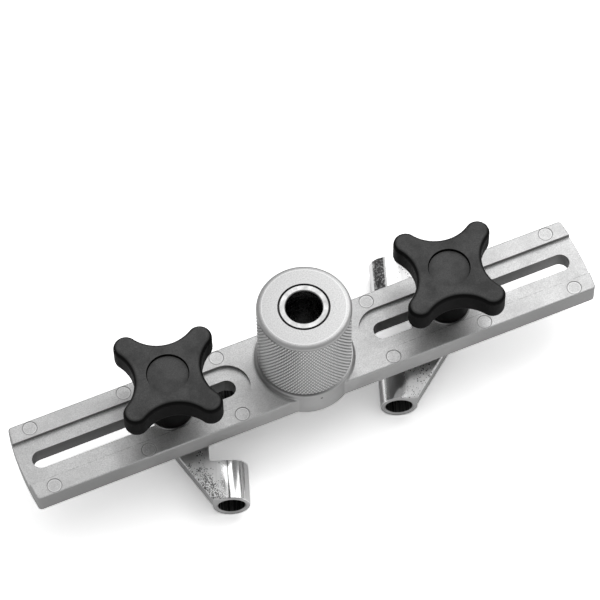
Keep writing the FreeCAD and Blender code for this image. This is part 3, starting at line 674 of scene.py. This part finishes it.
def add_floor():
    """Pale floor that the camera and mirrors see as white, with the object's shadow on it."""
    bpy.ops.mesh.primitive_plane_add(size=FLOOR_SIZE, location=(0.0, 0.0, 0.0))
    floor = bpy.context.object
    floor.name = "floor"
    s = Shader("floor", grey(0.8), 0.0, 0.9)
    s.set(Specular_IOR_Level=0.0)
    path = s.add("ShaderNodeLightPath").outputs
    seen = s.calc("MAXIMUM", path["Is Camera Ray"],
                  s.calc("MAXIMUM", path["Is Glossy Ray"], path["Is Transmission Ray"]))
    open_sky = s.add("ShaderNodeAmbientOcclusion", [("samples", FLOOR_SAMPLES)], Distance=FLOOR_SHADE_REACH)
    mirrored = s.ramp(open_sky.outputs["AO"], *FLOOR_OPEN_RANGE, FLOOR_SHADE, FLOOR_MIRRORED)
    level = s.ramp(path["Is Camera Ray"], 0.0, 1.0, mirrored, FLOOR_SEEN)
    pale = s.add("ShaderNodeCombineColor", Red=level, Green=level, Blue=level)
    white = s.add("ShaderNodeBsdfDiffuse", Color=pale.outputs["Color"])
    choice = s.add("ShaderNodeMixShader", Fac=seen)
    s.put(choice.inputs[1], s.surface.outputs["BSDF"])
    s.put(choice.inputs[2], white.outputs["BSDF"])
    s.put(s.tree.nodes["Material Output"].inputs["Surface"], choice.outputs["Shader"])
    floor.data.materials.append(s.material)


def add_light(name, place, size, power):
    """Rectangular lamp that faces the origin."""
    lamp = bpy.data.lights.new(name, "AREA")
    lamp.shape = "RECTANGLE"
    lamp.size, lamp.size_y = size
    lamp.energy = power
    light = bpy.data.objects.new(name, lamp)
    bpy.context.scene.collection.objects.link(light)
    light.location = place
    light.rotation_mode = "QUATERNION"
    light.rotation_quaternion = (-Vector(place)).to_track_quat("-Z", "Y")


def add_world():
    """Soft studio surround: bright overhead, and darker toward the horizon."""
    world = bpy.data.worlds.new("studio")
    bpy.context.scene.world = world
    world.use_nodes = True
    nodes = world.node_tree.nodes
    links = world.node_tree.links
    place = nodes.new("ShaderNodeTexCoord")
    toward = nodes.new("ShaderNodeVectorMath")
    toward.operation = "DOT_PRODUCT"
    toward.inputs[1].default_value = SURROUND_BRIGHT.normalized()
    links.new(place.outputs["Generated"], toward.inputs[0])
    level = nodes.new("ShaderNodeMapRange")
    level.interpolation_type = "SMOOTHSTEP"
    level.inputs["From Min"].default_value = SURROUND_RANGE[0]
    level.inputs["From Max"].default_value = SURROUND_RANGE[1]
    level.inputs["To Min"].default_value = SURROUND_LOW
    level.inputs["To Max"].default_value = SURROUND_HIGH
    links.new(toward.outputs["Value"], level.inputs["Value"])
    links.new(level.outputs["Result"], nodes["Background"].inputs["Strength"])
    nodes["Background"].inputs["Color"].default_value = (1.0, 1.0, 1.0, 1.0)


def add_camera():
    """Camera at the photograph's view."""
    data = bpy.data.cameras.new("camera")
    camera = bpy.data.objects.new("camera", data)
    bpy.context.scene.collection.objects.link(camera)
    azimuth = math.radians(VIEW_AZIMUTH)
    elevation = math.radians(VIEW_ELEVATION)
    back = Vector((math.sin(azimuth) * math.cos(elevation), -math.cos(azimuth) * math.cos(elevation),
                   math.sin(elevation)))
    camera.location = VIEW_TARGET + back * VIEW_DISTANCE
    camera.rotation_mode = "QUATERNION"
    roll = Quaternion((0.0, 0.0, 1.0), math.radians(VIEW_ROLL))
    camera.rotation_quaternion = (-back).to_track_quat("-Z", "Y") @ roll
    data.lens = VIEW_LENS
    data.sensor_width = VIEW_SENSOR
    data.clip_start, data.clip_end = VIEW_CLIP
    bpy.context.scene.camera = camera


paint("bar", cast_aluminium())
paint("guide_bush", ground_steel())
knurled_drum()
plastic = moulded_plastic("knob_plastic", KNOB_TONE)
cap_plastic = moulded_plastic("cap_plastic", CAP_TONE)
washer_steel = plain_metal("washer_steel", grey(WASHER_TONE), 0.3)
stud_steel = plain_metal("stud_steel", grey(STUD_TONE), 0.28)
brass = plain_metal("insert_brass", BRASS_COLOUR, 0.3)
for side, looks in ARM_LOOKS.items():
    stud_low, stud_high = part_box(f"{side}_stud")
    pivot = (stud_low.x + stud_high.x) / 2
    paint(f"{side}_arm", plated_casting(f"{side}_arm_plating", pivot, **looks))
    paint(f"{side}_stud", stud_steel)
    paint(f"{side}_washer", washer_steel)
    paint(f"{side}_knob", plastic)
    paint(f"{side}_knob_cap", cap_plastic)
    paint(f"{side}_knob_insert", brass)

add_floor()
add_world()
add_light("key", KEY_PLACE, KEY_SIZE, KEY_POWER)
add_light("side", SIDE_PLACE, SIDE_SIZE, SIDE_POWER)
add_camera()
bpy.context.scene.view_settings.view_transform = "Standard"
